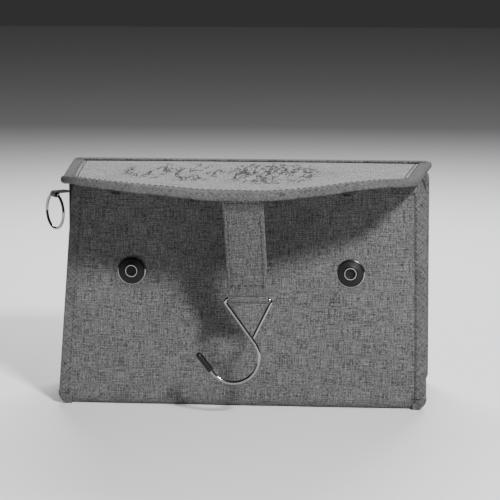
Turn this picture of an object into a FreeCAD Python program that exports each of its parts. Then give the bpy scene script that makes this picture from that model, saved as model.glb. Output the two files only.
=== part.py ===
import FreeCAD, Part
import math, os

V = FreeCAD.Vector
os.makedirs("parts", exist_ok=True)

# Hanging toiletry bag: two shallow zipped pouches joined by a fabric fold at the bottom, closed like a book,
# under a flap that ends in a strap and a wire hook.
# Frame: +Z up, front face towards -Y, origin at the middle of the base. Millimetres.

# ---- driving dimensions ----
H = 146.0            # height of the pouches
DEPTH = 40.0         # depth of one pouch, from the fold plane to its outer face
GAP = 2.6            # from the fold plane to a pouch's inner cover
HB_F, HT_F = 118.0, 111.5   # half widths of the front panel at base and top
HB_R, HT_R = 119.0, 118.0   # half widths of the back panel at base and top
T_CLOTH, T_FOAM, T_LINING = 1.0, 2.4, 0.6
T_WALL = T_CLOTH + T_FOAM + T_LINING
T_GUSSET = 2.2
T_COVER = 1.4
BIND_W, BIND_T = 7.0, 1.1   # bias binding: width on the face, thickness
R_BASE, R_TOP = 8.0, 7.0    # corner radii of the panels
ZIP_Z = 120.0        # height of the zips
ZIP_HALF = 92.0      # half length of a zip
ZIP_TRAVEL = 172.0
WIN = (84.0, 16.0, 104.0)   # mesh window: half width, bottom, top
FOLD_Z = -0.5        # fold axis height at y = 0

FLAP_Z0, FLAP_T = H + 0.8, 3.0
FLAP_MID = FLAP_Z0 + FLAP_T / 2
CREASE_Y = -47.0     # fold line between the flap's top and its lip
LIP_DROOP = 0.0      # degrees below the horizontal, as stored
LIP_CENTRE, LIP_SNAP, LIP_CORNER = 75.0, 72.0, 64.0   # lip length from the crease
LIP_HALF_BACK, LIP_HALF_FRONT = 112.0, 105.0
SNAP_X, SNAP_S = 70.0, 60.0   # snap fasteners: offset from the middle, distance from the crease
SNAP_R, STUD_R = 9.0, 8.0
SOCKET_T, STUD_T = 3.2, 2.0
POST_R, POST_L, HOLE_R, HOLE_D = 2.6, 2.1, 3.1, 2.6

STRAP_W = 25.0
STRAP_S, STRAP_N = 68.0, 3.8  # strap hinge on the lip: along it, and below its middle
STRAP_PHI = 119.0    # strap direction, degrees from forward towards down
STRAP_X = 8.0        # strap offset from the middle
STRAP_LEN = 76.0     # strap hinge to hook bar
WIRE_R = 1.15
RING_R, RING_WIRE = 11.0, 0.9


def save(name, shape):
    shape.exportStep("parts/%s.step" % name)


def box(x0, x1, y0, y1, z0, z1):
    return Part.makeBox(x1 - x0, y1 - y0, z1 - z0, V(x0, y0, z0))


def rounded(points, radii):
    """Closed wire through corner points in the plane y = 0, given as (x, z), each corner rounded."""
    n, edges, ends = len(points), [], []
    for i in range(n):
        p, a, b = V(points[i][0], 0, points[i][1]), points[i - 1], points[(i + 1) % n]
        a, b = V(a[0], 0, a[1]), V(b[0], 0, b[1])
        u, v = (a - p).normalize(), (b - p).normalize()
        r = radii[i]
        if r <= 0:
            ends.append((p, p, p))
            continue
        half = math.acos(max(-1, min(1, u.dot(v)))) / 2
        d = r / math.tan(half)
        mid = (u + v).normalize()
        centre = p + mid * (r / math.sin(half))
        ends.append((p + u * d, centre - mid * r, p + v * d))
    for i in range(n):
        s, m, e = ends[i]
        if (s - e).Length > 1e-6:
            edges.append(Part.Arc(s, m, e).toShape())
        nxt = ends[(i + 1) % n][0]
        if (e - nxt).Length > 1e-6:
            edges.append(Part.makeLine(e, nxt))
    return Part.Wire(edges)


def plate(points, radii, y0, y1):
    face = Part.Face(rounded(points, radii))
    face.translate(V(0, y0, 0))
    return face.extrude(V(0, y1 - y0, 0))


def outline(hb, ht, inset=0.0):
    """Panel outline of one pouch, a trapezium."""
    slope = (hb - ht) / H
    z0, z1 = inset, H - inset
    return [(-(hb - inset - slope * z0), z0), (hb - inset - slope * z0, z0),
            (hb - inset - slope * z1, z1), (-(hb - inset - slope * z1), z1)]


def radii(inset=0.0):
    b, t = max(R_BASE - inset, 1.0), max(R_TOP - inset, 1.0)
    return [b, b, t, t]


def side_strip(hb, ht, out, inn, z0, z1, y0, y1, side):
    """A strip along the slanted side edge, from out to inn inside the panel's edge."""
    s = (hb - ht) / H
    pts = [(side * (hb - out - s * z0), z0), (side * (hb - inn - s * z0), z0),
           (side * (hb - inn - s * z1), z1), (side * (hb - out - s * z1), z1)]
    return plate(pts, [0, 0, 0, 0], y0, y1)


def along_y(shape, rear):
    """Shapes are made for the front pouch. The rear pouch is turned half round the vertical."""
    if rear:
        shape = shape.copy()
        shape.rotate(V(0, 0, 0), V(0, 0, 1), 180)
    return shape


def pouch(prefix, hb, ht, rear):
    y_out = -DEPTH
    y_in = -DEPTH + T_WALL
    y_cov0, y_cov1 = -GAP - T_COVER, -GAP
    slope = (hb - ht) / H
    out = {}
    side = "back" if rear else "front"
    # outer wall: cloth, foam and lining
    out[side + "_panel"] = plate(outline(hb, ht), radii(), y_out, y_out + T_CLOTH)
    out[side + "_foam"] = plate(outline(hb, ht, 3.0), radii(3.0), y_out + T_CLOTH, y_in - T_LINING)
    out[side + "_lining"] = plate(outline(hb, ht, 1.5), radii(1.5), y_in - T_LINING, y_in)
    # gussets
    g0 = 1.5
    zt = H - 1.0
    s_in = g0 + T_GUSSET
    for nm, sd in (("left", -1), ("right", 1)):
        real = {"left": "right", "right": "left"}[nm] if rear else nm
        out["%s_gusset_%s" % (prefix, real)] = side_strip(hb, ht, g0, s_in, R_BASE, H - R_TOP, y_in, y_cov0, sd)
    hbi = hb - g0 - slope * T_GUSSET
    out[prefix + "_gusset_base"] = plate(
        [(-(hb - R_BASE), 0), (hb - R_BASE, 0), (hb - g0 - slope * R_BASE, R_BASE - 1.0), (hb - g0 - slope * R_BASE, R_BASE),
         (hb - s_in - slope * R_BASE, R_BASE), (hb - R_BASE - 1.2, T_GUSSET), (-(hb - R_BASE - 1.2), T_GUSSET),
         (-(hb - s_in - slope * R_BASE), R_BASE), (-(hb - g0 - slope * R_BASE), R_BASE), (-(hb - g0 - slope * R_BASE), R_BASE - 1.0)],
        [0] * 10, y_in, y_cov0)
    zz = H - R_TOP
    out[prefix + "_gusset_top"] = plate(
        [(-(hb - g0 - slope * zz), zz), (-(hb - s_in - slope * zz), zz), (-(ht - R_TOP - 1.2), H - T_GUSSET), (ht - R_TOP - 1.2, H - T_GUSSET),
         (hb - s_in - slope * zz, zz), (hb - g0 - slope * zz, zz), (ht - R_TOP, H), (-(ht - R_TOP), H)],
        [0] * 8, y_in, y_cov0)
    # inner cover with a window and a slot for the zip
    cover = plate(outline(hb, ht, 1.0), radii(1.0), y_cov0, y_cov1)
    w, z0, z1 = WIN
    cover = cover.cut(plate([(-w, z0), (w, z0), (w, z1), (-w, z1)], [9] * 4, y_cov0 - 1, y_cov1 + 1))
    cover = cover.cut(plate([(-ZIP_HALF - 3, ZIP_Z - 4.5), (ZIP_HALF + 3, ZIP_Z - 4.5), (ZIP_HALF + 3, ZIP_Z + 4.5), (-ZIP_HALF - 3, ZIP_Z + 4.5)],
                            [2] * 4, y_cov0 - 1, y_cov1 + 1))
    out[prefix + "_cover"] = cover
    out[prefix + "_mesh"] = plate([(-w - 4, z0 - 4), (w + 4, z0 - 4), (w + 4, z1 + 3), (-w - 4, z1 + 3)], [10] * 4, y_cov0 - 0.6, y_cov0)
    # zip: two tapes, teeth, end stops
    tape = box(-ZIP_HALF - 5, ZIP_HALF + 5, y_cov0 - 0.6, y_cov0, ZIP_Z + 0.2, ZIP_Z + 8.5)
    tape2 = box(-ZIP_HALF - 5, ZIP_HALF + 5, y_cov0 - 0.6, y_cov0, ZIP_Z - 8.5, ZIP_Z - 0.2)
    out[prefix + "_zip_tape"] = Part.makeCompound([tape, tape2])
    teeth = [box(-ZIP_HALF, ZIP_HALF, y_cov0, y_cov0 + 1.0, ZIP_Z + 0.15, ZIP_Z + 1.9),
             box(-ZIP_HALF, ZIP_HALF, y_cov0, y_cov0 + 1.0, ZIP_Z - 1.9, ZIP_Z - 0.15)]
    out[prefix + "_zip_teeth"] = Part.makeCompound(teeth)
    # slider: a cap over the teeth with a stud for the pull
    xs = -ZIP_TRAVEL / 2
    cap = plate([(xs - 6, ZIP_Z - 3.4), (xs + 5, ZIP_Z - 3.9), (xs + 6, ZIP_Z - 2.5), (xs + 6, ZIP_Z + 2.5), (xs + 5, ZIP_Z + 3.9), (xs - 6, ZIP_Z + 3.4)],
                [1.5, 1, 0.5, 0.5, 1, 1.5], y_cov0 + 0.3, y_cov0 + 2.3)
    cap = cap.cut(box(xs - 10, xs + 10, y_cov0 + 0.2, y_cov0 + 1.3, ZIP_Z - 2.2, ZIP_Z + 2.2))
    stud = Part.makeCylinder(1.0, 1.2, V(xs, y_cov0 + 2.2, ZIP_Z), V(0, 1, 0))
    out[prefix + "_zip_slider"] = cap.fuse(stud).removeSplitter()
    pull = plate([(xs - 2.2, ZIP_Z + 2.4), (xs - 3.4, ZIP_Z - 24), (xs + 3.4, ZIP_Z - 24), (xs + 2.2, ZIP_Z + 2.4)], [1.8, 2.6, 2.6, 1.8],
                 y_cov0 + 2.6, y_cov0 + 3.4)
    pull = pull.cut(Part.makeCylinder(1.3, 3, V(xs, y_cov0 + 2, ZIP_Z), V(0, 1, 0)))
    pull = pull.cut(plate([(xs - 1.6, ZIP_Z - 15), (xs - 1.9, ZIP_Z - 21), (xs + 1.9, ZIP_Z - 21), (xs + 1.6, ZIP_Z - 15)], [1] * 4, y_cov0 + 2, y_cov0 + 4))
    out[prefix + "_zip_pull"] = pull
    # bias binding along both side edges of the outer wall
    ring_o = plate([(x + (BIND_T if x > 0 else -BIND_T), z) for x, z in outline(hb, ht)], [r + BIND_T * 0.6 for r in radii()], y_out - BIND_T, y_in + 0.0)
    inner = plate(outline(hb, ht, BIND_W - BIND_T), radii(BIND_W - BIND_T), y_out - BIND_T - 1, y_in + 2)
    slot = plate(outline(hb, ht), radii(), y_out, y_in + 2)
    mid = box(-(ht - 12), ht - 12, y_out - 5, y_in + 5, -5, H + 5)
    tape_ring = ring_o.cut(inner).cut(slot).cut(mid)
    parts = sorted(tape_ring.Solids, key=lambda s: s.CenterOfMass.x)
    names = ("left", "right") if not rear else ("right", "left")
    out["%s_binding_%s" % (side, names[0])] = parts[0]
    out["%s_binding_%s" % (side, names[1])] = parts[-1]
    return {k: along_y(s, rear) for k, s in out.items()}


front = pouch("front", HB_F, HT_F, False)
rear = pouch("rear", HB_R, HT_R, True)
nodes = {}
nodes.update(front)
nodes.update(rear)

# ---- fabric fold that joins the two pouches along the bottom ----
nodes["fold_web"] = box(-HT_F, HT_F, -GAP + 0.4, GAP, 0.0, 1.2)

# ---- snap sockets on the front panel, with their inner washers ----
snap_z = FLAP_MID - SNAP_S
def socket(x):
    y = -DEPTH
    base = Part.makeCylinder(SNAP_R, 1.0, V(x, y, snap_z), V(0, -1, 0))
    dome = Part.makeCone(SNAP_R - 0.7, SNAP_R - 1.3, SOCKET_T - 1.0, V(x, y - 1.0, snap_z), V(0, -1, 0))
    s = base.fuse(dome)
    return s.cut(Part.makeCylinder(HOLE_R, HOLE_D, V(x, y - SOCKET_T - 0.001, snap_z), V(0, 1, 0))).removeSplitter()
nodes["snap_socket_left"] = socket(-SNAP_X)
nodes["snap_socket_right"] = socket(SNAP_X)
def washer(x):
    y = -DEPTH + T_WALL
    w = Part.makeCylinder(8.0, 0.8, V(x, y, snap_z), V(0, 1, 0))
    return w.cut(Part.makeCylinder(2.0, 3, V(x, y - 1, snap_z), V(0, 1, 0)))
nodes["snap_washers_front"] = Part.makeCompound([washer(-SNAP_X), washer(SNAP_X)])

# ---- side ring and its loop, on the front pouch's left side ----
u = V(0.62, -0.785, 0).normalize()
ring_c = V(-117.9, -46.9, H - 19.0)
ring_top = V(ring_c.x, ring_c.y, ring_c.z + RING_R)
normal = u.cross(V(0, 0, 1)).normalize()      # points away from or towards the bag
ring = Part.makeTorus(RING_R, RING_WIRE, ring_c, normal)
nodes["side_ring"] = ring
# loop: a sleeve round the ring's top wire, with a tail sewn to the gusset
w_half = 2.6
sleeve = Part.makeCylinder(2.1, 2 * w_half, ring_top - u * w_half, u)
bore = Part.makeCylinder(1.35, 2 * w_half + 2, ring_top - u * (w_half + 1), u)
n_in = normal if normal.x > 0 else normal * -1
p0 = ring_top + V(0, 0, 1.4)
tail_len = 9.0
tail = Part.makeBox(2 * w_half, tail_len, 1.5)
m = FreeCAD.Matrix(u.x, n_in.x, 0, 0, u.y, n_in.y, 0, 0, 0, 0, 1, 0, 0, 0, 0, 1)
tail = tail.transformGeometry(m)
tail.translate(ring_top - u * w_half + V(0, 0, 0.5))
loop = sleeve.fuse(tail).cut(bore)
for k in ("front_gusset_left", "front_panel", "front_foam", "front_lining", "front_binding_left", "front_cover"):
    loop = loop.cut(nodes[k])
loop = max(loop.Solids, key=lambda s: s.Volume)
nodes["ring_loop"] = loop

# ---- flap: top section ----
def flap_plate(pts, rads, z0, z1):
    """pts are (x, y)."""
    p = plate([(x, y) for x, y in pts], rads, 0, 1)
    face = Part.Face(rounded(pts, rads))
    face.rotate(V(0, 0, 0), V(1, 0, 0), -90)   # (x, 0, z) to (x, z, 0)
    if abs(face.BoundBox.YMin - min(q[1] for q in pts)) > 1e-3:
        face.rotate(V(0, 0, 0), V(1, 0, 0), 180)
    face.translate(V(0, 0, z0 - face.BoundBox.ZMin))
    return face.extrude(V(0, 0, z1 - z0))

top_y0 = CREASE_Y + 2.0
def flap_pts(inset, front_inset=0.0):
    return [(-(HT_R + 1 - inset), DEPTH - inset * 0.4), (-(LIP_HALF_BACK - inset), top_y0 + front_inset), (LIP_HALF_BACK - inset, top_y0 + front_inset), (HT_R + 1 - inset, DEPTH - inset * 0.4)]
nodes["flap_top"] = flap_plate(flap_pts(1.2), [0] * 4, FLAP_Z0 + 2.2, FLAP_Z0 + 3.0)
nodes["flap_board"] = flap_plate(flap_pts(4.0, 2.5), [0] * 4, FLAP_Z0 + 0.8, FLAP_Z0 + 2.2)
nodes["flap_lining"] = flap_plate(flap_pts(1.2), [0] * 4, FLAP_Z0, FLAP_Z0 + 0.8)
# binding on the flap's two side edges: C channels round the stacked layers
def flap_binding(side):
    o = [(side * (HT_R + 1.6), DEPTH), (side * (LIP_HALF_BACK + 0.6), top_y0), (side * (LIP_HALF_BACK - BIND_W), top_y0), (side * (HT_R + 1 - BIND_W), DEPTH)]
    if side < 0:
        o = o[::-1]
    c = flap_plate(o, [0] * 4, FLAP_Z0 - 0.35, FLAP_Z0 + 3.7)
    return c.cut(flap_plate(flap_pts(1.2), [0] * 4, FLAP_Z0, FLAP_Z0 + 3.0))
nodes["flap_binding_left"] = flap_binding(-1)
nodes["flap_binding_right"] = flap_binding(1)
crease = Part.makeCylinder(1.1, 2 * LIP_HALF_BACK - 4, V(-LIP_HALF_BACK + 2, CREASE_Y, FLAP_MID), V(1, 0, 0))
crease = crease.fuse(box(-LIP_HALF_BACK + 2, LIP_HALF_BACK - 2, CREASE_Y, top_y0, FLAP_MID - 0.5, FLAP_MID + 0.5)).removeSplitter()
nodes["flap_crease"] = crease

# ---- lip: made flat and straight ahead of the crease, then drooped ----
def lip_pts(inset):
    f = inset
    return [(-(LIP_HALF_BACK - f), CREASE_Y - 2.0), (-(LIP_HALF_FRONT - f), CREASE_Y - LIP_CORNER + f), (-SNAP_X, CREASE_Y - LIP_SNAP + f),
            (-20, CREASE_Y - LIP_CENTRE + f), (20, CREASE_Y - LIP_CENTRE + f), (SNAP_X, CREASE_Y - LIP_SNAP + f),
            (LIP_HALF_FRONT - f, CREASE_Y - LIP_CORNER + f), (LIP_HALF_BACK - f, CREASE_Y - 2.0)]
def lip_rads(inset):
    r = max(18 - inset, 2)
    return [0, r, 60, 60, 60, 60, r, 0]
lip = {}
Z = FLAP_Z0
lip["lip_top"] = flap_plate(lip_pts(1.2), lip_rads(1.2), Z + 2.2, Z + 3.0)
lip["lip_board"] = flap_plate(lip_pts(4.0), lip_rads(4.0), Z + 0.8, Z + 2.2)
lip["lip_lining"] = flap_plate(lip_pts(1.2), lip_rads(1.2), Z, Z + 0.8)
rim = flap_plate(lip_pts(0), lip_rads(0), Z - 0.35, Z + 3.6)
rim = rim.cut(flap_plate(lip_pts(1.2), lip_rads(1.2), Z, Z + 3.0))
inner = flap_plate([(x, y if y > CREASE_Y - 3 else y) for x, y in lip_pts(BIND_W)], lip_rads(BIND_W), Z - 5, Z + 8)
inner = inner.fuse(box(-(LIP_HALF_BACK - BIND_W), LIP_HALF_BACK - BIND_W, CREASE_Y - 4, CREASE_Y + 5, Z - 5, Z + 8))
rim = rim.cut(inner)
lip["lip_binding"] = rim
def stud(x):
    y = CREASE_Y - SNAP_S
    z = Z
    s = Part.makeCylinder(STUD_R, STUD_T - 0.35, V(x, y, z), V(0, 0, -1))
    s = s.fuse(Part.makeCylinder(STUD_R - 0.8, STUD_T, V(x, y, z), V(0, 0, -1)))
    return s.fuse(Part.makeCylinder(POST_R, STUD_T + POST_L, V(x, y, z), V(0, 0, -1))).removeSplitter()
lip["snap_stud_left"] = stud(-SNAP_X)
lip["snap_stud_right"] = stud(SNAP_X)
lip["lip_binding"] = lip["lip_binding"].cut(lip["snap_stud_left"]).cut(lip["snap_stud_right"])
# strap anchor patch under the lip
lip["strap_anchor"] = box(STRAP_X - STRAP_W / 2, STRAP_X + STRAP_W / 2, CREASE_Y - STRAP_S + 0.5, CREASE_Y - STRAP_S + 18, Z - 0.6, Z)
for k in list(lip):
    s = lip[k].copy()
    s.rotate(V(0, CREASE_Y, FLAP_MID), V(1, 0, 0), LIP_DROOP)
    lip[k] = s
nodes.update(lip)

# ---- strap: from the lip's underside to the hook bar ----
d = math.radians(LIP_DROOP)
root = V(STRAP_X, CREASE_Y - STRAP_S * math.cos(d) + STRAP_N * math.sin(d), FLAP_MID - STRAP_S * math.sin(d) - STRAP_N * math.cos(d))
phi = math.radians(STRAP_PHI)
sdir = V(0, -math.cos(phi), -math.sin(phi))
snrm = V(0, math.sin(phi), -math.cos(phi))     # across the strap's thickness
bar = root + sdir * STRAP_LEN
def slab(p, length, width, thick):
    """A box from p along the strap direction, centred on its thickness."""
    b = Part.makeBox(width, length, thick)
    mm = FreeCAD.Matrix(1, sdir.x, snrm.x, 0, 0, sdir.y, snrm.y, 0, 0, sdir.z, snrm.z, 0, 0, 0, 0, 1)
    b = b.transformGeometry(mm)
    b.translate(p - V(width / 2, 0, 0) - snrm * (thick / 2))
    return b
T_STRAP = 2.4
low = Part.makeCylinder(1.25, STRAP_W, root - V(STRAP_W / 2, 0, 0), V(1, 0, 0))
low = low.fuse(slab(root, STRAP_LEN, STRAP_W, T_STRAP))
low = low.fuse(Part.makeCylinder(2.4, STRAP_W, bar - V(STRAP_W / 2, 0, 0), V(1, 0, 0)))
low = low.cut(Part.makeCylinder(WIRE_R + 0.3, STRAP_W + 4, bar - V(STRAP_W / 2 + 2, 0, 0), V(1, 0, 0)))
nodes["strap"] = low

# ---- hook: one bent wire with a cap on its tip ----
def fillet_path(points, rad):
    """Straight runs through 3-D points, with tangent arcs at the inner ones. An entry of rad is 0 for none."""
    edges, last = [], points[0]
    for i in range(1, len(points) - 1):
        p = points[i]
        a, b = (points[i - 1] - p).normalize(), (points[i + 1] - p).normalize()
        half = math.acos(a.dot(b)) / 2
        t = rad[i] / math.tan(half)
        c = p + (a + b).normalize() * (rad[i] / math.sin(half))
        s, e, mpt = p + a * t, p + b * t, c - (a + b).normalize() * rad[i]
        edges.append(Part.makeLine(last, s))
        edges.append(Part.Arc(s, mpt, e).toShape())
        last = e
    return edges, last
cx, cz, cr = -9.5, -37.2, 16.3
def hp(x, z, y=0.0):
    return V(bar.x + x, bar.y + y, bar.z + z)
def circ(a):
    a = math.radians(a)
    return hp(cx + cr * math.cos(a), cz + cr * math.sin(a))
A1, A2 = 35.6, -142.0
t1 = circ(A1)
e_dir = V(math.sin(math.radians(A1)), 0, -math.cos(math.radians(A1)))
left = t1 - e_dir * ((t1.z - bar.z) / e_dir.z)       # where the long leg meets the bar's line
edges, last = fillet_path([hp(3.4, -24.2, -2.8), V(bar.x + 15.4, bar.y, bar.z), left, t1], [0, 2.2, 2.2, 0])
edges.append(Part.makeLine(last, t1))
edges.append(Part.Arc(t1, circ((A1 + A2) / 2), circ(A2)).toShape())
t2 = circ(A2)
e2 = V(math.sin(math.radians(A2)), 0, -math.cos(math.radians(A2)))
tip = t2 + e2 * 12.5
edges.append(Part.makeLine(t2, tip))
path = Part.Wire(edges)
start = hp(3.4, -24.2, -2.8)
dirn = (V(bar.x + 15.4, bar.y, bar.z) - start).normalize()
prof = Part.Wire([Part.Circle(start, dirn, WIRE_R).toShape()])
wire = path.makePipeShell([prof], True, True)
nodes["hook_wire"] = wire
cap = Part.makeCylinder(2.0, 12.0, tip - e2 * 11.0, e2)
cap = cap.fuse(Part.makeSphere(2.0, tip + e2 * 1.0))
cap = cap.cut(Part.makeCylinder(WIRE_R, 11.0, tip - e2 * 11.0, e2)).removeSplitter()
nodes["hook_tip"] = cap
print("root", root, "bar", bar, "left", left, "hook volume", wire.Volume, "length", path.Length, "area", math.pi * WIRE_R ** 2 * path.Length)
print("snap_z", snap_z)

for name in sorted(nodes):
    s = nodes[name]
    ok = s.isValid() and s.Volume > 0
    print("%-22s solids %d valid %s volume %.1f  x %.1f %.1f y %.1f %.1f z %.1f %.1f" % (
        name, len(s.Solids), ok, s.Volume, s.BoundBox.XMin, s.BoundBox.XMax, s.BoundBox.YMin, s.BoundBox.YMax, s.BoundBox.ZMin, s.BoundBox.ZMax))
    save(name, s)
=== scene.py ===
import bpy, math, random
import numpy as np
from mathutils import Vector, Matrix


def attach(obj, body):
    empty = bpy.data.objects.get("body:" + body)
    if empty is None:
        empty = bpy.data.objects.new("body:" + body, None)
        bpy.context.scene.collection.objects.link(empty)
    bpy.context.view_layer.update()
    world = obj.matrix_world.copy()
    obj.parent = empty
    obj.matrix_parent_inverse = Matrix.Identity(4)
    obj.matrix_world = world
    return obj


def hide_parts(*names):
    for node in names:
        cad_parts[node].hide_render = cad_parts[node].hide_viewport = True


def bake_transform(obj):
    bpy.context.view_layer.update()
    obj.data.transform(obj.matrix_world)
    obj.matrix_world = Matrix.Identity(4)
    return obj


random.seed(7)
RNG = np.random.default_rng(11)
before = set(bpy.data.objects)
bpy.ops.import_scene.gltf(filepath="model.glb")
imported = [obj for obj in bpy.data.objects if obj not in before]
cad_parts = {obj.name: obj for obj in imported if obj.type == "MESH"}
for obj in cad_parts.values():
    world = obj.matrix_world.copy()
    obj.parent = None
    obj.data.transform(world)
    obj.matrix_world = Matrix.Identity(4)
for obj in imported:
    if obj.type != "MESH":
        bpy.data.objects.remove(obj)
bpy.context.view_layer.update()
MM = 0.001

# ------------------------------------------------------------------ dimensions (mm)
H = 146.0
HB_F, HT_F, HB_R, HT_R = 118.0, 111.5, 119.0, 118.0
Y_OUT, Y_IN, Y_COV = 40.0, 35.8, 4.0
R_B, R_T = 8.0, 7.0
CREASE = -47.0
MID = 148.3
LEAN = 4.6            # how far the front pouch's top leans to the right
SNAP_X, SNAP_Z = 70.0, 88.3
SX = 8.0              # strap offset to the right
ROOT = np.array([SX, -115.0, 144.5])
BEND = np.array([SX, -111.126, 137.5])
BAR = np.array([SX, -78.154, 78.029])


# ------------------------------------------------------------------ helpers
def mesh_obj(name, verts, faces, uvs=None, smooth=True, mat=None):
    me = bpy.data.meshes.new(name)
    me.from_pydata([tuple(float(c) * MM for c in v) for v in verts], [], [tuple(f) for f in faces])
    me.update()
    if uvs is not None:
        lay = me.uv_layers.new(name="Cloth")
        idx = np.zeros(len(me.loops), int)
        me.loops.foreach_get("vertex_index", idx)
        lay.data.foreach_set("uv", (np.asarray(uvs, float)[idx] * MM).astype(np.float32).ravel())
    if smooth:
        me.polygons.foreach_set("use_smooth", [True] * len(me.polygons))
    ob = bpy.data.objects.new(name, me)
    bpy.context.scene.collection.objects.link(ob)
    if mat is not None:
        me.materials.append(mat)
    return ob


def normals_of(P, closed_u=False):
    if closed_u:
        du = np.roll(P, -1, axis=1) - np.roll(P, 1, axis=1)
    else:
        du = np.gradient(P, axis=1)
    dv = np.gradient(P, axis=0)
    n = np.cross(du, dv)
    l = np.linalg.norm(n, axis=2, keepdims=True)
    l[l < 1e-9] = 1
    return n / l


def shell(name, P, thick, UV, mat, flip=False, closed_u=False, N=None):
    """A closed slab from a grid of points (rows, cols, 3): the given face and one thick below it."""
    m, n = P.shape[:2]
    if N is None:
        N = normals_of(P, closed_u)
    if flip:
        N = -N
    Q = P - N * thick
    verts = np.concatenate([P.reshape(-1, 3), Q.reshape(-1, 3)])
    uvs = np.concatenate([UV.reshape(-1, 2), UV.reshape(-1, 2)])
    K = m * n
    faces = []
    cols = n if closed_u else n - 1
    for i in range(m - 1):
        for j in range(cols):
            k = (j + 1) % n
            a, b, c, d = i * n + j, i * n + k, (i + 1) * n + k, (i + 1) * n + j
            faces.append((a, b, c, d) if not flip else (d, c, b, a))
            faces.append((K + d, K + c, K + b, K + a) if not flip else (K + a, K + b, K + c, K + d))
    rim = []
    for j in range(cols):
        k = (j + 1) % n
        rim.append((j, k, 1))
        rim.append(((m - 1) * n + j, (m - 1) * n + k, -1))
    if not closed_u:
        for i in range(m - 1):
            rim.append((i * n, (i + 1) * n, -1))
            rim.append((i * n + n - 1, (i + 1) * n + n - 1, 1))
    for a, b, s in rim:
        if flip:
            s = -s
        faces.append((a, K + a, K + b, b) if s > 0 else (b, K + b, K + a, a))
    return mesh_obj(name, verts, faces, uvs, True, mat)


def sweep(name, path, O, N, section, mat, closed=False, cap=True, uscale=1.0, twist_uv=0.0):
    """Sweeps a closed section, given as (o, n) offsets, along path with side vectors O and normals N."""
    path, O, N = np.asarray(path, float), np.asarray(O, float), np.asarray(N, float)
    sec = np.asarray(section, float)
    m, n = len(path), len(sec)
    V_ = path[:, None, :] + O[:, None, :] * sec[None, :, 0:1] + N[:, None, :] * sec[None, :, 1:2]
    seg = np.linalg.norm(np.diff(path, axis=0), axis=1)
    s = np.concatenate([[0], np.cumsum(seg)])
    w = np.concatenate([[0], np.cumsum(np.linalg.norm(np.diff(sec, axis=0), axis=1))])
    UV = np.zeros((m, n, 2))
    # bias cloth: the weave runs at 45 degrees
    UV[:, :, 0] = (s[:, None] + w[None, :]) * 0.7071
    UV[:, :, 1] = (s[:, None] - w[None, :]) * 0.7071
    faces = []
    for i in range(m - 1 if not closed else m):
        i2 = (i + 1) % m
        for j in range(n):
            k = (j + 1) % n
            faces.append((i * n + j, i * n + k, i2 * n + k, i2 * n + j))
    if cap and not closed:
        faces.append(tuple(range(n - 1, -1, -1)))
        faces.append(tuple((m - 1) * n + j for j in range(n)))
    ob = mesh_obj(name, V_.reshape(-1, 3), faces, UV.reshape(-1, 2), True, mat)
    fix_normals(ob)
    return ob


def fix_normals(ob):
    import bmesh
    bm = bmesh.new()
    bm.from_mesh(ob.data)
    bmesh.ops.recalc_face_normals(bm, faces=bm.faces)
    bm.to_mesh(ob.data)
    bm.free()
    ob.data.update()


def lathe(name, profile, centre, axis, mat, seg=64):
    """profile: list of (r, h) in mm; closed on the axis at both ends where r = 0."""
    a = Vector(axis).normalized()
    x = a.orthogonal().normalized()
    y = a.cross(x)
    verts, faces, rings = [], [], []
    for r, h in profile:
        if r < 1e-6:
            rings.append([len(verts)])
            verts.append(Vector(centre) + a * h)
        else:
            rings.append(list(range(len(verts), len(verts) + seg)))
            for k in range(seg):
                t = 2 * math.pi * k / seg
                verts.append(Vector(centre) + a * h + (x * math.cos(t) + y * math.sin(t)) * r)
    closed = len(rings[0]) > 1 and len(rings[-1]) > 1
    pairs = list(zip(rings[:-1], rings[1:])) + ([(rings[-1], rings[0])] if closed else [])
    for A, B in pairs:
        for k in range(seg):
            k2 = (k + 1) % seg
            if len(A) == 1 and len(B) == 1:
                continue
            if len(A) == 1:
                faces.append((A[0], B[k], B[k2]))
            elif len(B) == 1:
                faces.append((A[k], B[0], A[k2]))
            else:
                faces.append((A[k], B[k], B[k2], A[k2]))
    ob = mesh_obj(name, verts, faces, None, True, mat)
    fix_normals(ob)
    shade_auto(ob, 40)
    return ob


def shade_auto(ob, deg=35):
    """Marks the sharp edges."""
    import bmesh
    bm = bmesh.new()
    bm.from_mesh(ob.data)
    lim = math.radians(deg)
    for e in bm.edges:
        if len(e.link_faces) == 2 and e.calc_face_angle(0) > lim:
            e.smooth = False
    bm.to_mesh(ob.data)
    bm.free()


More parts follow.
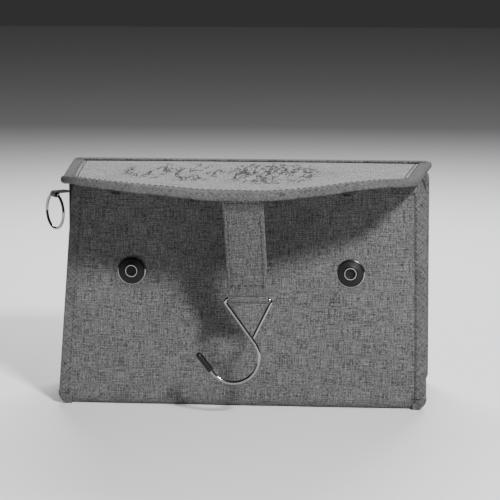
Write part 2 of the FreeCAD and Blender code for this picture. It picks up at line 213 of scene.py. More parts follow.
def stitches(name, path, N, mat, length=2.5, gap=1.1, rad=0.3, lift=0.12):
    """Short thread capsules along a path, lying on a surface with normals N."""
    path, N = np.asarray(path, float), np.asarray(N, float)
    s = np.concatenate([[0], np.cumsum(np.linalg.norm(np.diff(path, axis=0), axis=1))])
    verts, faces = [], []
    pos = gap
    sides = 6
    while pos + length < s[-1]:
        c = [np.array([np.interp(pos + length * f, s, path[:, k]) for k in range(3)]) for f in (0, 0.25, 0.75, 1)]
        nn = np.array([np.interp(pos + length / 2, s, N[:, k]) for k in range(3)])
        nn /= max(np.linalg.norm(nn), 1e-9)
        t = c[3] - c[0]
        t /= max(np.linalg.norm(t), 1e-9)
        b = np.cross(t, nn)
        base = len(verts)
        for i, (p, r, d) in enumerate(zip(c, (0.35, 1, 1, 0.35), (-0.25, lift, lift, -0.25))):
            for k in range(sides):
                a = 2 * math.pi * k / sides
                verts.append(p + nn * (d + rad * r * math.sin(a)) + b * (rad * r * math.cos(a)))
        for i in range(3):
            for k in range(sides):
                k2 = (k + 1) % sides
                faces.append((base + i * sides + k, base + i * sides + k2, base + (i + 1) * sides + k2, base + (i + 1) * sides + k))
        faces.append(tuple(base + k for k in range(sides - 1, -1, -1)))
        faces.append(tuple(base + 3 * sides + k for k in range(sides)))
        pos += length + gap
    ob = mesh_obj(name, verts, faces, None, True, mat)
    fix_normals(ob)
    return ob


def smooth_noise(x, z, seed, scale):
    """Sum of a few sines, a soft wrinkle field from -1 to 1."""
    r = np.random.default_rng(seed)
    out = np.zeros_like(x, dtype=float)
    for i in range(7):
        a = r.uniform(0, 2 * math.pi)
        f = (0.6 + 0.5 * i) / scale
        out += np.sin((x * math.cos(a) + z * math.sin(a)) * f * 2 * math.pi + r.uniform(0, 6.28)) / (1 + 0.7 * i)
    return out / 2.6


def body(ob, name, *nodes, slot=None):
    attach(ob, name)
    if nodes:
        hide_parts(*nodes)
    return ob


# ------------------------------------------------------------------ materials
def new_mat(name):
    m = bpy.data.materials.new(name)
    m.use_nodes = True
    nt = m.node_tree
    return m, nt, nt.nodes["Principled BSDF"]


def weave(name, base, contrast=0.5, period=0.9, bump=0.35, streak=1.0, sheen=0.05, twill=False, rough=0.92, motif=None):
    """Heather cloth: uneven warp and weft threads in two sets of streaks over a fine plain weave."""
    m, nt, bs = new_mat(name)
    N, L = nt.nodes, nt.links
    uv = N.new("ShaderNodeUVMap")
    uv.uv_map = "Cloth"

    def mapped(sx, sy, loc=(0, 0, 0)):
        mp = N.new("ShaderNodeMapping")
        mp.inputs["Scale"].default_value = (sx, sy, 1)
        mp.inputs["Location"].default_value = loc
        L.new(uv.outputs["UV"], mp.inputs["Vector"])
        return mp.outputs["Vector"]

    def noise(vec, detail=2.0, rough_=0.55):
        n = N.new("ShaderNodeTexNoise")
        n.inputs["Scale"].default_value = 1.0
        n.inputs["Detail"].default_value = detail
        n.inputs["Roughness"].default_value = rough_
        L.new(vec, n.inputs["Vector"])
        return n.outputs["Fac"]

    def math_(op, a, b=None, c=None, clamp=False):
        n = N.new("ShaderNodeMath")
        n.operation = op
        n.use_clamp = clamp
        for i, v in enumerate((a, b, c)):
            if v is None:
                continue
            if isinstance(v, (int, float)):
                n.inputs[i].default_value = v
            else:
                L.new(v, n.inputs[i])
        return n.outputs[0]

    weft = noise(mapped(95 * streak, 1900), 2.0)        # long along u, thin along v
    warp = noise(mapped(1900, 95 * streak, (3.1, 7.7, 0)), 2.0)
    slub = noise(mapped(520, 1900, (9, 2, 0)), 1.5)
    slub2 = noise(mapped(1900, 520, (1, 5, 0)), 1.5)
    cloud = noise(mapped(22, 22), 2.0)
    mix = math_("ADD", math_("ADD", weft, warp), math_("ADD", math_("MULTIPLY", slub, 0.9), math_("MULTIPLY", slub2, 0.9)))
    mix = math_("SUBTRACT", mix, 1.9)                    # about -0.4 to 0.4
    # fine threads
    sep = N.new("ShaderNodeSeparateXYZ")
    k = 2 * math.pi / (period * MM)
    L.new(mapped(k, k), sep.inputs[0])
    su, sv = math_("SINE", sep.outputs[0]), math_("SINE", sep.outputs[1])
    if twill:
        thread = math_("SINE", math_("ADD", sep.outputs[0], sep.outputs[1]))
    else:
        thread = math_("MULTIPLY", su, sv)
    tone = math_("ADD", math_("MULTIPLY", mix, contrast * 3.0), math_("MULTIPLY", thread, 0.07 if not twill else 0.12))
    tone = math_("ADD", tone, math_("MULTIPLY", math_("SUBTRACT", cloud, 0.5), 0.35))
    fac = math_("ADD", tone, 1.0)
    fac = math_("MAXIMUM", fac, 0.25)
    col = N.new("ShaderNodeMixRGB")
    col.blend_type = "MULTIPLY"
    col.inputs["Fac"].default_value = 1.0
    col.inputs[1].default_value = (*base, 1)
    L.new(fac, col.inputs[2])
    out = col.outputs[0]
    if motif is not None:
        out = motif(nt, out, math_, noise, mapped)
    L.new(out, bs.inputs["Base Color"])
    h = math_("ADD", math_("MULTIPLY", mix, 1.2), math_("MULTIPLY", thread, 0.35))
    bp = N.new("ShaderNodeBump")
    bp.inputs["Strength"].default_value = bump
    bp.inputs["Distance"].default_value = 0.0006
    L.new(h, bp.inputs["Height"])
    L.new(bp.outputs[0], bs.inputs["Normal"])
    bs.inputs["Roughness"].default_value = rough
    bs.inputs["Sheen Weight"].default_value = sheen
    bs.inputs["Sheen Roughness"].default_value = 0.5
    bs.inputs["Specular IOR Level"].default_value = 0.12
    return m


def plain(name, col, rough, metal=0.0, coat=0.0, spec=0.5):
    m, nt, bs = new_mat(name)
    bs.inputs["Base Color"].default_value = (*col, 1)
    bs.inputs["Roughness"].default_value = rough
    bs.inputs["Metallic"].default_value = metal
    bs.inputs["Coat Weight"].default_value = coat
    bs.inputs["Coat Roughness"].default_value = 0.15
    bs.inputs["Specular IOR Level"].default_value = spec
    return m


def motif_nodes(nt, base, math_, noise, mapped):
    """An abstract brush sketch: warped strokes inside two soft patches, in cloth coordinates (mm from the flap's middle and back edge)."""
    N, L = nt.nodes, nt.links

    def patch(cx, cy, rx, ry):
        mp = N.new("ShaderNodeSeparateXYZ")
        L.new(mapped(1 / (rx * MM), 1 / (ry * MM), (-cx / rx, -cy / ry, 0)), mp.inputs[0])
        d = math_("ADD", math_("MULTIPLY", mp.outputs[0], mp.outputs[0]), math_("MULTIPLY", mp.outputs[1], mp.outputs[1]))
        return math_("SUBTRACT", 1.0, d, clamp=True)

    n1 = noise(mapped(70, 16, (2, 1, 0)), 4.0, 0.6)
    n2 = noise(mapped(120, 30, (8, 3, 0)), 5.0, 0.65)
    ridge = math_("ABSOLUTE", math_("SUBTRACT", n1, 0.5))
    lines = math_("SUBTRACT", 1.0, math_("MULTIPLY", ridge, 26.0), clamp=True)
    ridge2 = math_("ABSOLUTE", math_("SUBTRACT", n2, 0.5))
    lines2 = math_("SUBTRACT", 1.0, math_("MULTIPLY", ridge2, 30.0), clamp=True)
    blot = math_("MULTIPLY", math_("SUBTRACT", n1, 0.60), 22.0, clamp=True)
    a = math_("MULTIPLY", math_("MULTIPLY", patch(20, 70, 40, 66), 1.3, clamp=True), math_("MAXIMUM", blot, math_("MAXIMUM", lines, lines2)))
    b = math_("MULTIPLY", math_("MULTIPLY", patch(-44, 66, 48, 62), 1.4, clamp=True), math_("MULTIPLY", lines, 0.75))
    ink = math_("MULTIPLY", math_("SUBTRACT", math_("MAXIMUM", a, b), 0.30), 4.0, clamp=True)
    mixn = N.new("ShaderNodeMixRGB")
    L.new(math_("MULTIPLY", ink, 0.94), mixn.inputs["Fac"])
    L.new(base, mixn.inputs[1])
    mixn.inputs[2].default_value = (0.010, 0.010, 0.011, 1)
    return mixn.outputs[0]


GREY = (0.092, 0.092, 0.092)
CLOTH = weave("heather_cloth", GREY, 0.80)
FLAPC = weave("heather_cloth_print", (0.205, 0.205, 0.205), 0.7, motif=motif_nodes)
BIAS = weave("bias_tape", (0.085, 0.085, 0.085), 0.7, period=1.1, bump=0.45)
LINING = weave("dark_lining", (0.035, 0.035, 0.037), 0.25, period=0.7, bump=0.2, rough=0.7)
TAPE = weave("zip_tape_cloth", (0.02, 0.02, 0.021), 0.2, period=1.4, bump=0.3)
THREAD = plain("thread", (0.018, 0.018, 0.018), 0.8)
THREAD_L = plain("thread_grey", (0.055, 0.055, 0.055), 0.75)
# base colour kept well below bare polished steel: painted dark reflection, standing in for dark surroundings mirrored
# in the hook wire and side ring
CHROME = plain("polished_wire", (0.30, 0.30, 0.31), 0.12, 1.0)
RIM = plain("snap_rim", (0.34, 0.34, 0.35), 0.16, 1.0)
BLACK = plain("black_gloss", (0.008, 0.008, 0.008), 0.30, 0.0, 0.10, 0.2)
MAGNET = plain("magnet_face", (0.010, 0.010, 0.011), 0.45, 0.0, 0.02, 0.18)
COIL = plain("zip_coil", (0.015, 0.015, 0.016), 0.35)
PULLM = plain("zip_metal_part", (0.5, 0.5, 0.51), 0.22, 1.0)


def cad_mat(node, mat):
    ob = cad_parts[node]
    ob.data.materials.clear()
    ob.data.materials.append(mat)
    return ob


# ------------------------------------------------------------------ panels
def lean(side, z):
    return LEAN * z / H if side < 0 else 0.0


def half_width(hb, ht, z):
    """Half width of the panel outline at height z, corners rounded."""
    w = hb - (hb - ht) * z / H
    if z < R_B:
        w -= R_B - math.sqrt(max(R_B ** 2 - (R_B - z) ** 2, 0))
    if z > H - R_T:
        w -= R_T - math.sqrt(max(R_T ** 2 - (z - H + R_T) ** 2, 0))
    return w


def zrows(n):
    """Rows that are dense at both ends."""
    t = np.linspace(0, 1, n)
    return H * (0.5 - 0.5 * np.cos(math.pi * t)) * 0.35 + H * t * 0.65


def panel(name, hb, ht, side, mat, bulge, seed):
    """The padded outer wall. side -1 is the front."""
    m, n = 90, 130
    zs = np.linspace(0, 1, m)
    zs = H * (zs - 0.09 * np.sin(2 * math.pi * zs))
    P = np.zeros((m, n, 3))
    UV = np.zeros((m, n, 2))
    for i, z in enumerate(zs):
        w = half_width(hb, ht, z)
        u = np.linspace(-1, 1, n)
        x = u * w
        P[i, :, 0] = x + lean(side, z)
        P[i, :, 2] = z
        # padded bulge
        fx = 1 - np.abs(x / hb) ** 4
        fz = np.clip(math.sin(math.pi * min(max((z + 4) / (H + 8), 0), 1)), 0, 1) ** 0.6
        y = bulge * fx * fz
        wr = smooth_noise(x, np.full_like(x, z), seed, 95) * 0.9 * fx * fz
        y = y + wr
        if side < 0:
            # a soft dimple round each snap
            for sx in (-SNAP_X, SNAP_X):
                d2 = ((x - sx) ** 2 + (z - SNAP_Z) ** 2) / 15.0 ** 2
                y = y * (1 - np.exp(-d2))
        # edges sink towards the binding
        edge = np.minimum(w - np.abs(x), 9.0) / 9.0
        y = y - 0.9 * (1 - edge) ** 2
        # the base turns under
        r = 7.0
        if z < r:
            y = y - (r - math.sqrt(max(r * r - (r - z) ** 2, 0))) * 0.8
        P[i, :, 1] = side * (Y_OUT + y)
        UV[i, :, 0] = x
        UV[i, :, 1] = z
    ob = shell(name, P, 3.2, UV, mat, flip=(side > 0))
    fix_normals(ob)
    return ob, P


front, FP = panel("front_panel_cloth", HB_F, HT_F, -1, CLOTH, 1.7, 5)
body(front, "front_pouch", "front_panel", "front_foam", "front_lining", slot="outer_cloth")
back, BP = panel("back_panel_cloth", HB_R, HT_R, 1, CLOTH, 1.8, 9)
body(back, "rear_pouch", "back_panel", "back_foam", "back_lining", slot="outer_cloth")


def outline_loop(hb, ht, side, inset, n_side=60, n_h=70, n_c=12):
    """Closed loop round the panel, counter-clockwise seen from the front, with outward vectors in x-z."""
    pts = []
    def add(x, z):
        pts.append((x, z))
    sl = (hb - ht) / H
    rb, rt = R_B - inset * 0.6, R_T - inset * 0.6
    z0, z1 = inset, H - inset
    wb = hb - inset
    def w(z):
        return hb - inset - sl * z
    for x in np.linspace(-(w(z0) - rb), w(z0) - rb, n_h)[:-1]:
        add(x, z0)
    for a in np.linspace(-90, 0, n_c)[:-1]:
        add(w(z0) - rb + rb * math.cos(math.radians(a)), z0 + rb + rb * math.sin(math.radians(a)))
    for z in np.linspace(z0 + rb, z1 - rt, n_side)[:-1]:
        add(w(z), z)
    for a in np.linspace(0, 90, n_c)[:-1]:
        add(w(z1) - rt + rt * math.cos(math.radians(a)), z1 - rt + rt * math.sin(math.radians(a)))
    for x in np.linspace(w(z1) - rt, -(w(z1) - rt), n_h)[:-1]:
        add(x, z1)
    for a in np.linspace(90, 180, n_c)[:-1]:
        add(-(w(z1) - rt) + rt * math.cos(math.radians(a)), z1 - rt + rt * math.sin(math.radians(a)))
    for z in np.linspace(z1 - rt, z0 + rb, n_side)[:-1]:
        add(-w(z), z)
    for a in np.linspace(180, 270, n_c)[:-1]:
        add(-(w(z0) - rb) + rb * math.cos(math.radians(a)), z0 + rb + rb * math.sin(math.radians(a)))
    p = np.array(pts)
    p[:, 0] += np.array([lean(side, z) for z in p[:, 1]])
    t = np.roll(p, -1, axis=0) - np.roll(p, 1, axis=0)
    t /= np.linalg.norm(t, axis=1, keepdims=True)
    o = np.stack([t[:, 1], -t[:, 0]], axis=1)
    return p, o


def gusset(name, hb, ht, side, seed):
    p, o = outline_loop(hb, ht, side, 1.5)
    n = len(p)
    m = 22
    P = np.zeros((m, n, 3))
    UV = np.zeros((m, n, 2))
    s = np.concatenate([[0], np.cumsum(np.linalg.norm(np.diff(np.vstack([p, p[:1]]), axis=0), axis=1))])[:-1]
    total = s[-1] + np.linalg.norm(p[0] - p[-1])
    for i in range(m):
        f = i / (m - 1)
        d = Y_IN + (Y_COV - 0.1 - Y_IN) * f
        bul = 1.1 * math.sin(math.pi * f)
        wr = smooth_noise(s, np.full_like(s, d * 2.0), seed, 60) * 0.8 * math.sin(math.pi * f)
        k = np.where(p[:, 1] < 3, 0.0, 1.0)            # the base stays flat on the floor
        k = np.where(p[:, 1] > H - 3, 0.12, k)
        off = (bul + wr - 1.0) * k
        # blend the change
        P[i, :, 0] = p[:, 0] + o[:, 0] * off
        P[i, :, 2] = np.clip(p[:, 1] + o[:, 1] * off, 0.15, H + 0.1)
        P[i, :, 1] = side * d
        UV[i, :, 0] = s
        UV[i, :, 1] = d
    Nn = np.zeros((m, n, 3))
    Nn[:, :, 0] = o[None, :, 0]
    Nn[:, :, 2] = o[None, :, 1]
    ob = shell(name, P, 1.8, UV, CLOTH, closed_u=True, N=Nn)
    fix_normals(ob)
    return ob


g = gusset("front_gusset_cloth", HB_F, HT_F, -1, 21)
body(g, "front_pouch", "front_gusset_left", "front_gusset_right", "front_gusset_base", "front_gusset_top", slot="outer_cloth")
g = gusset("rear_gusset_cloth", HB_R, HT_R, 1, 22)
body(g, "rear_pouch", "rear_gusset_left", "rear_gusset_right", "rear_gusset_base", "rear_gusset_top", slot="outer_cloth")


# ------------------------------------------------------------------ bindings of the panels
def rounded_section(o0, o1, n0, n1, r, k=5):
    """Rounded rectangle section in (outward, normal)."""
    pts = []
    for cx, cy, a0 in ((o1 - r, n1 - r, 0), (o0 + r, n1 - r, 90), (o0 + r, n0 + r, 180), (o1 - r, n0 + r, 270)):
        for a in np.linspace(a0, a0 + 90, k):
            pts.append((cx + r * math.cos(math.radians(a)), cy + r * math.sin(math.radians(a))))
    return pts


def side_binding(prefix, hb, ht, side, nodes):
    p, o = outline_loop(hb, ht, side, 0.0, n_side=80, n_h=140, n_c=16)
    made = []
    for sx in (-1, 1):
        keep = [i for i in range(len(p)) if (p[i, 1] < 20 and sx * p[i, 0] > hb - R_B - 0.5) or (p[i, 1] >= 20 and sx * (p[i, 0] - lean(side, p[i, 1])) > ht - 22)]
        idx = sorted(keep)
        # make the run continuous
        gaps = [k for k in range(len(idx) - 1) if idx[k + 1] - idx[k] > 1]
        if gaps:
            k = gaps[0]
            idx = idx[k + 1:] + idx[:k + 1]
        q, qo = p[idx], o[idx]
        w = smooth_noise(np.arange(len(idx)) * 2.0, np.zeros(len(idx)), 31 + sx, 70) * 0.25
        path = np.stack([q[:, 0], np.full(len(q), side * (Y_OUT - 1.2)), np.clip(q[:, 1], 0.0, None)], axis=1)
        O = np.stack([qo[:, 0], np.zeros(len(q)), qo[:, 1]], axis=1)
        Nn = np.stack([np.zeros(len(q)), np.full(len(q), float(side)), np.zeros(len(q))], axis=1)
        sec = rounded_section(-6.6, 1.0, -3.3, 2.3, 1.25)
        nm = "%s_edge_tape_%s" % (prefix, "left" if sx < 0 else "right")
        path[:, 2] = np.clip(path[:, 2], 1.05, H - 0.9)
        taper = np.ones(len(q))
        low = np.clip((q[:, 1] - 0.2) / 3.0, 0, 1)
        taper = np.where(q[:, 1] < 20, 0.6 + 0.4 * low, 1.0)
        ob = sweep(nm, path, O * taper[:, None], Nn * taper[:, None], sec, BIAS)
        body(ob, "front_pouch" if side < 0 else "rear_pouch", nodes[0 if sx < 0 else 1], slot="binding_tape")
        made.append(ob)
        # stitch line on the tape, near its inner edge
        st = path + O * -5.4 + Nn * 2.3
        so = stitches(nm + "_stitch", st, Nn, THREAD)
        body(so, "front_pouch" if side < 0 else "rear_pouch")
    return made


side_binding("front", HB_F, HT_F, -1, ("front_binding_left", "front_binding_right"))
side_binding("back", HB_R, HT_R, 1, ("back_binding_left", "back_binding_right"))

# the corner piping where the gusset meets the inner cover
for nm, hb, ht, side, bd in (("front_inner_piping", HB_F, HT_F, -1, "front_pouch"), ("rear_inner_piping", HB_R, HT_R, 1, "rear_pouch")):
    p, o = outline_loop(hb, ht, side, 1.3, n_side=60, n_h=70, n_c=12)
    path = np.stack([p[:, 0], np.full(len(p), side * 4.6), p[:, 1]], axis=1)
    O = np.stack([o[:, 0], np.zeros(len(p)), o[:, 1]], axis=1)
    Nn = np.stack([np.zeros(len(p)), np.full(len(p), float(side)), np.zeros(len(p))], axis=1)
    ob = sweep(nm, path, O, Nn, rounded_section(-2.2, 0.9, -1.6, 1.5, 1.0, 4), BIAS, closed=True)
    body(ob, bd, slot="binding_tape")

# ------------------------------------------------------------------ inner covers, mesh windows, zips
for pre in ("front", "rear"):
    ob = cad_mat(pre + "_cover", LINING)
    cad_mat(pre + "_mesh", TAPE)
    cad_mat(pre + "_zip_tape", TAPE)
    cad_mat(pre + "_zip_teeth", COIL)
    cad_mat(pre + "_zip_slider", PULLM)
    cad_mat(pre + "_zip_pull", PULLM)
cad_mat("fold_web", BIAS)

# ------------------------------------------------------------------ snaps
def snap(name, x):
    rim = lathe(name + "_rim", [(9.15, 0.0), (9.2, 0.5), (9.0, 1.15), (8.5, 1.45), (8.3, 1.2), (8.3, 0.0)], (x, -40.2, SNAP_Z), (0, -1, 0), RIM)
    disc = lathe(name + "_disc", [(0, 0.4), (2.4, 0.4), (2.4, 1.0), (2.6, 1.2), (3.1, 1.25), (3.2, 2.4), (3.5, 3.0), (4.2, 3.1), (4.7, 2.7), (5.0, 2.45), (7.4, 2.35), (7.9, 2.1), (8.25, 1.3), (8.25, 0.0), (0, 0.0)], (x, -40.2, SNAP_Z), (0, -1, 0), MAGNET)
    ring = lathe(name + "_ring", [(3.25, 2.2), (3.2, 2.9), (3.45, 3.2), (3.8, 3.2), (4.0, 2.9), (4.0, 2.2)], (x, -40.2, SNAP_Z), (0, -1, 0), RIM)
    return rim, disc, ring


for nm, x, node in (("snap_left", -SNAP_X, "snap_socket_left"), ("snap_right", SNAP_X, "snap_socket_right")):
    a, b, c = snap(nm, x)
    body(b, "front_pouch", node, slot="snap")
    body(a, "front_pouch", slot="snap_metal")
    body(c, "front_pouch", slot="snap_metal")

cad_mat("side_ring", CHROME)
cad_mat("ring_loop", BIAS)
cad_mat("hook_wire", CHROME)
cad_mat("hook_tip", BLACK)
cad_mat("snap_washers_front", RIM)
for n in ("side_ring", "hook_wire", "hook_tip", "ring_loop"):
    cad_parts[n].data.materials[0]

# ------------------------------------------------------------------ flap
def polyline_round(pts, rads, k=14):
    out = []
    n = len(pts)
    for i, p in enumerate(pts):
        p = np.array(p, float)
        r = rads[i]
        if r <= 0 or i in (0, n - 1):
            out.append(p)
            continue
        a, b = np.array(pts[i - 1], float) - p, np.array(pts[i + 1], float) - p
        a /= np.linalg.norm(a)
        b /= np.linalg.norm(b)
        half = math.acos(np.clip(a @ b, -1, 1)) / 2
        d = r / math.tan(half)
        mid = (a + b) / np.linalg.norm(a + b)
        c = p + mid * (r / math.sin(half))
        s, e = p + a * d, p + b * d
        a0 = math.atan2(s[1] - c[1], s[0] - c[0])
        a1 = math.atan2(e[1] - c[1], e[0] - c[0])
        da = (a1 - a0 + math.pi) % (2 * math.pi) - math.pi
        for t in np.linspace(0, 1, k):
            out.append(c + r * np.array([math.cos(a0 + da * t), math.sin(a0 + da * t)]))
    return np.array(out)


def resample(poly, n):
    s = np.concatenate([[0], np.cumsum(np.linalg.norm(np.diff(poly, axis=0), axis=1))])
    t = np.linspace(0, s[-1], n)
    return np.stack([np.interp(t, s, poly[:, 0]), np.interp(t, s, poly[:, 1])], axis=1)


# plan of the flap: x, and s measured forward from the crease (negative over the flap's top)
FLAP_BACK = -(Y_OUT - CREASE)            # -87
def flap_edge(inset=0.0):
    f = inset
    left = [(-(119.5 - f), FLAP_BACK), (-(112.0 - f), -6.0), (-(104.0 - f), 54.0 - f), (-70.0, 70.0 - f), (-20.0, 75.5 - f)]
    right = [(-x, s) for x, s in left[::-1]]
    return polyline_round(left + right, [0, 60, max(30 - f, 3), 120, 90, 90, 120, max(30 - f, 3), 60, 0])


def flap_height(x, s):
    """Top surface of the flap: (y, z) for plan coordinates, soft and slightly saddle shaped."""
    x, s = np.asarray(x, float), np.asarray(s, float)
    # past the crease the flap runs straight forward: the bend angle stays at zero
    sp = np.clip(s, 0, None)
    c = 1 - np.clip(np.abs(x) / 108.0, 0, 1) ** 2.0             # 1 in the middle, 0 at the sides
    base = 0.0
    y = CREASE - sp * math.cos(base) - np.clip(s, None, 0)
    z = (MID + 1.6) - sp * math.sin(base)
    k = np.clip(sp / 75.0, 0, 1.2)
    z = z - SAG * c * k ** 2 + LIFT * (1 - c) * k ** 1.5
    # the last stretch curls down towards the edge
    e = np.clip((sp - 52.0) / 22.0, 0, 1.3)
    z = z - CURL * c * e ** 2
    # soft rise over the middle of the top, a low ripple across
    t = np.clip(-s / 87.0, 0, 1)
    z = z + 1.1 * np.sin(math.pi * t) * (1 - np.abs(x / 119.0) ** 3) 
    rp = smooth_noise(x, s, 41, 80) * 0.9
    z = z + rp * np.clip((s + 80) / 60.0, 0, 1) * 0.9
    return y, z


SAG, LIFT, CURL = -1.2, 11.0, 1.8


def flap_surface(inset, m, n):
    e = flap_edge(inset)
    # split the edge into left side, front and right side at the middle of the corner arcs
    ang = [abs(p[0]) + p[1] for p in e]
    half = len(e) // 2
    iL = int(np.argmax(ang[:half]))
    iR = len(e) - 1 - int(np.argmax(ang[::-1][:half]))
    L, Fr, R = resample(e[:iL + 1], m), resample(e[iL:iR + 1], n), resample(e[iR:][::-1], m)
    B = np.stack([np.linspace(e[0, 0], e[-1, 0], n), np.full(n, e[0, 1])], axis=1)
    u, v = np.linspace(0, 1, n)[None, :, None], np.linspace(0, 1, m)[:, None, None]
    S = (1 - v) * B[None] + v * Fr[None] + (1 - u) * L[:, None] + u * R[:, None]
    S = S - ((1 - u) * (1 - v) * B[0] + u * (1 - v) * B[-1] + (1 - u) * v * Fr[0] + u * v * Fr[-1])
    return S


def to3d(S):
    y, z = flap_height(S[..., 0], S[..., 1])
    return np.stack([S[..., 0], y, z], axis=-1)


def flap_normal(x, s):
    h = 0.5
    def p(a, b):
        y, z = flap_height(a, b)
        return np.stack([np.asarray(a, float) + 0 * y, y, z], axis=-1)
    dx = p(x + h, s) - p(x - h, s)
    ds = p(x, s + h) - p(x, s - h)
    n = np.cross(dx, ds)
    n /= np.linalg.norm(n, axis=-1, keepdims=True)
    n[n[..., 2] < 0] *= -1
    return n


S = flap_surface(1.6, 90, 130)
P = to3d(S)
Nn = flap_normal(S[..., 0], S[..., 1])
UV = np.stack([S[..., 0], S[..., 1] + 87.0], axis=-1)
top = shell("flap_cloth", P, 1.2, UV, FLAPC, N=Nn)
fix_normals(top)
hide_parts("flap_top", "lip_top", "flap_board", "lip_board", "flap_crease")
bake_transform(top)

P2 = P - Nn * 1.25
under = shell("flap_lining_cloth", P2, 1.9, UV, LINING, N=Nn)
fix_normals(under)
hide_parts("flap_lining", "lip_lining", "strap_anchor")
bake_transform(under)

# binding round the flap's sides and front
E = flap_edge(0.0)
E = resample(E, 420)
T2 = np.gradient(E, axis=0)
T2 /= np.linalg.norm(T2, axis=1, keepdims=True)
out2 = np.stack([T2[:, 1], -T2[:, 0]], axis=1)
out2 = np.where((out2 * (E - np.array([0, -20]))).sum(axis=1, keepdims=True) < 0, -out2, out2)
EP = to3d(E)
EN = flap_normal(E[:, 0], E[:, 1])
OP = to3d(E + out2 * 1.0) - EP
OP /= np.linalg.norm(OP, axis=1, keepdims=True)
EN = np.cross(np.gradient(EP, axis=0), OP)
EN /= np.linalg.norm(EN, axis=1, keepdims=True)
EN[EN[:, 2] < 0] *= -1
puff = 1.0 + 0.10 * smooth_noise(np.arange(420) * 1.0, np.zeros(420), 77, 45)
sec = rounded_section(-7.4, 1.0, -4.0, 0.9, 1.9, 6)
bind = sweep("flap_binding_tape", EP, OP * puff[:, None], EN * puff[:, None], sec, BIAS)
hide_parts("flap_binding_left", "flap_binding_right", "lip_binding")
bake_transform(bind)
st = stitches("flap_binding_stitch", EP + OP * -8.6 + EN * 0.1, EN, THREAD, rad=0.34)
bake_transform(st)
st = stitches("flap_binding_stitch_2", EP + OP * -5.9 + EN * 0.95, EN, THREAD_L, rad=0.26)
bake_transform(st)

# ------------------------------------------------------------------ the cloth that joins the back to the flap
zz = []
for a in np.linspace(0, 1, 26):
    # from the back panel's top, over the edge, on to the flap
    if a < 0.45:
        zz.append((41.9, H - 9.0 + a / 0.45 * 8.8))
    elif a < 0.75:
        t = (a - 0.45) / 0.3 * math.pi / 2
        zz.append((37.9 + 4.0 * math.cos(t), H - 0.2 + 4.7 * math.sin(t)))
    else:
        zz.append((37.9 - (a - 0.75) / 0.25 * 6.5, H + 4.5))
n = 120
xs = np.linspace(-117.0, 117.0, n)
P = np.zeros((len(zz), n, 3))
P[:, :, 0] = xs[None, :]
P[:, :, 1] = np.array([q[0] for q in zz])[:, None]
P[:, :, 2] = np.array([q[1] for q in zz])[:, None]
s = np.concatenate([[0], np.cumsum(np.linalg.norm(np.diff(np.array(zz), axis=0), axis=1))])
UV = np.stack([np.repeat(xs[None], len(zz), 0), np.repeat(s[:, None], n, 1)], axis=-1)
hinge = shell("flap_back_fold", P, 1.0, UV, CLOTH)
fix_normals(hinge)
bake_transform(hinge)

# ------------------------------------------------------------------ flap snaps (on the underside)
SN = []
for nm, x, node in (("flap_snap_left", -SNAP_X, "snap_stud_left"), ("flap_snap_right", SNAP_X, "snap_stud_right")):
    d = 0.0
    base = np.array([x, CREASE - 60.0, float(flap_height(x, 60.0)[1]) - 3.1])
    axis = (0, math.sin(d) * 1.0, -math.cos(d))
    a = lathe(nm + "_disc", [(0, 4.1), (2.1, 4.1), (2.6, 3.8), (2.6, 1.9), (7.2, 1.9), (7.7, 1.5), (7.9, 0.9), (7.9, -0.4), (0, -0.4)], base, axis, MAGNET)
    body(a, "flap_lip", node, slot="snap_metal")

# ------------------------------------------------------------------ strap
STRAPC = weave("strap_cloth", (0.085, 0.085, 0.085), 0.8, period=1.0)


def ribbon(name, line, width, thick, mat, bodies=None, taper=None):
    """A flat strap along a centre line of (y, z), width along x, edges rounded."""
    line = np.asarray(line, float)
    P = np.stack([np.full(len(line), SX), line[:, 0], line[:, 1]], axis=1)
    T = np.gradient(P, axis=0)
    T /= np.linalg.norm(T, axis=1, keepdims=True)
    X = np.tile(np.array([1.0, 0, 0]), (len(P), 1))
    Nn = np.cross(T, X)
    k = 40
    r = thick / 2
    sec = []
    for a in np.linspace(-90, 90, 7):
        sec.append((width / 2 - r + r * math.cos(math.radians(a)), r * math.sin(math.radians(a))))
    for x in np.linspace(width / 2 - r, -width / 2 + r, k)[1:-1]:
        sec.append((x, r * (1.0 - 0.16 * math.exp(-((abs(x) - width / 2 + 2.6) / 0.8) ** 2))))
    for a in np.linspace(90, 270, 7):
        sec.append((-width / 2 + r + r * math.cos(math.radians(a)), r * math.sin(math.radians(a))))
    for x in np.linspace(-width / 2 + r, width / 2 - r, k)[1:-1]:
        sec.append((x, -r * (1.0 - 0.16 * math.exp(-((abs(x) - width / 2 + 2.6) / 0.8) ** 2))))
    sec = np.array(sec)
    V_ = P[:, None, :] + X[:, None, :] * sec[None, :, 0:1] + Nn[:, None, :] * sec[None, :, 1:2]
    s = np.concatenate([[0], np.cumsum(np.linalg.norm(np.diff(P, axis=0), axis=1))])
    UV = np.zeros((len(P), len(sec), 2))
    UV[:, :, 0] = sec[None, :, 0]
    UV[:, :, 1] = s[:, None]
    m, n = len(P), len(sec)
    faces = []
    for i in range(m - 1):
        for j in range(n):
            q = (j + 1) % n
            faces.append((i * n + j, i * n + q, (i + 1) * n + q, (i + 1) * n + j))
    faces.append(tuple(range(n - 1, -1, -1)))
    faces.append(tuple((m - 1) * n + j for j in range(n)))
    ob = mesh_obj(name, V_.reshape(-1, 3), faces, UV.reshape(-1, 2), True, mat)
    fix_normals(ob)
    return ob, P, Nn


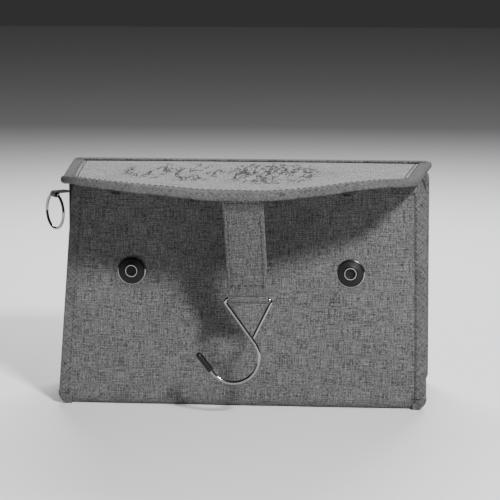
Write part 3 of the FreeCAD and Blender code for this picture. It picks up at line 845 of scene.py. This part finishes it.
sd = (BAR - BEND) / np.linalg.norm(BAR - BEND)
sn = np.array([0, sd[2], -sd[1]])
pts = []
for t in np.linspace(0, 1, 60):
    p = BEND + (BAR - BEND) * t - sd * 1.0 * (1 - t)
    p = p + np.array([0, 0.9 * math.sin(math.pi * t), -0.9 * math.sin(math.pi * t) * 0.5])
    pts.append((p[1], p[2]))
pts = pts[:-2]
front_n = None
lower, LP, LN = ribbon("strap_main", pts, 25.0, 2.5, STRAPC)
body(lower, "strap", "strap", slot="strap_cloth")
if LN[0][1] > 0:
    LN = -LN
# loop round the hook bar
loop = lathe("strap_bar_loop", [(1.5, -12.4), (2.5, -12.4), (2.75, -12.0), (2.75, 12.0), (2.5, 12.4), (1.5, 12.4)], tuple(BAR), (1, 0, 0), STRAPC, 40)
uvl = loop.data.uv_layers.new(name="Cloth")
for poly in loop.data.polygons:
    for li in poly.loop_indices:
        v = loop.data.vertices[loop.data.loops[li].vertex_index].co
        uvl.data[li].uv = (v.x, math.atan2(v.z - BAR[2] * MM, v.y - BAR[1] * MM) * 0.0026)
body(loop, "strap", slot="strap_cloth")
for dx in (-10.0, 10.0):
    so = stitches("strap_side_stitch_%s" % ("left" if dx < 0 else "right"), LP[2:-3] + np.array([dx, 0, 0]) + LN[2:-3] * 1.18, LN[2:-3], THREAD, rad=0.3)
    body(so, "strap")
q = BAR - sd * 11.0
i = int(np.argmin(np.linalg.norm(LP - q, axis=1)))
row = np.stack([np.linspace(SX - 11, SX + 11, 30), np.full(30, LP[i][1]), np.full(30, LP[i][2])], axis=1) + LN[i] * 1.2
so = stitches("strap_end_stitch", row, np.tile(LN[i], (30, 1)), THREAD, rad=0.32)
body(so, "strap")
# the strap's upper end, from under the lip's edge to the strap's hinge
d = 0.0
lip_dir = np.array([0, -math.cos(d), -math.sin(d)])
lip_dn = np.array([0, math.sin(d), -math.cos(d)])
pts = []
a0 = np.array([SX, CREASE, MID]) + lip_dir * 52.0 + lip_dn * 2.6
a1 = np.array([SX, CREASE, MID]) + lip_dir * 66.0 + lip_dn * 2.9
a2 = np.array([SX, CREASE, MID]) + lip_dir * 70.0 + lip_dn * 3.3
ctrl = [a0, (a0 + a1) / 2, a1, a2, ROOT + np.array([0, -1.2, -1.6]), BEND + (ROOT - BEND) * 0.45 + np.array([0, -0.6, 0]), BEND, BEND + sd * 3.0]
C = np.array(ctrl)
tt = np.concatenate([[0], np.cumsum(np.linalg.norm(np.diff(C, axis=0), axis=1))])
ts = np.linspace(0, tt[-1], 40)
def cr(k):
    v = np.interp(ts, tt, C[:, k])
    for _ in range(4):
        v[1:-1] = (v[:-2] + 2 * v[1:-1] + v[2:]) / 4
    return v
upper, UP, UN = ribbon("strap_top_turn", np.stack([cr(1), cr(2)], axis=1), 24.9, 2.1, STRAPC)
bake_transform(upper)

# ------------------------------------------------------------------ floor, light, camera
bpy.ops.mesh.primitive_plane_add(size=8.0, location=(0, 0.4, 0))
floor = bpy.context.object
floor.name = "floor"
fm, nt, bs = new_mat("floor_pale")
bs.inputs["Base Color"].default_value = (0.90, 0.90, 0.90, 1)
bs.inputs["Roughness"].default_value = 0.7
bs.inputs["Specular IOR Level"].default_value = 0.3
floor.data.materials.append(fm)

world = bpy.data.worlds.new("studio")
bpy.context.scene.world = world
world.use_nodes = True
world.node_tree.nodes["Background"].inputs[0].default_value = (0.9, 0.9, 0.9, 1)
world.node_tree.nodes["Background"].inputs[1].default_value = 0.04


def area(name, loc, target, size, power):
    li = bpy.data.lights.new(name, "AREA")
    li.shape = "RECTANGLE"
    li.size, li.size_y = size
    li.energy = power
    ob = bpy.data.objects.new(name, li)
    bpy.context.scene.collection.objects.link(ob)
    ob.location = loc
    ob.rotation_euler = (Vector(target) - Vector(loc)).to_track_quat("-Z", "Y").to_euler()
    return ob


area("key", (0.62, -1.20, 0.98), (0, -0.05, 0.08), (0.20, 0.20), 43.0)
area("top", (0.0, 0.80, 0.95), (0, -0.03, 0.14), (0.8, 0.35), 20.0)
area("fill", (-1.1, -1.0, 0.30), (0, 0, 0.05), (0.7, 0.5), 0.5)

cam_d = bpy.data.cameras.new("camera")
cam = bpy.data.objects.new("camera", cam_d)
bpy.context.scene.collection.objects.link(cam)
cam_d.sensor_width = 36
cam_d.lens = 149.5
cam.location = (0.117, -1.339, 0.315)
cam.rotation_euler = (math.radians(90 - 9.26), 0, math.radians(4.89))
bpy.context.scene.camera = cam
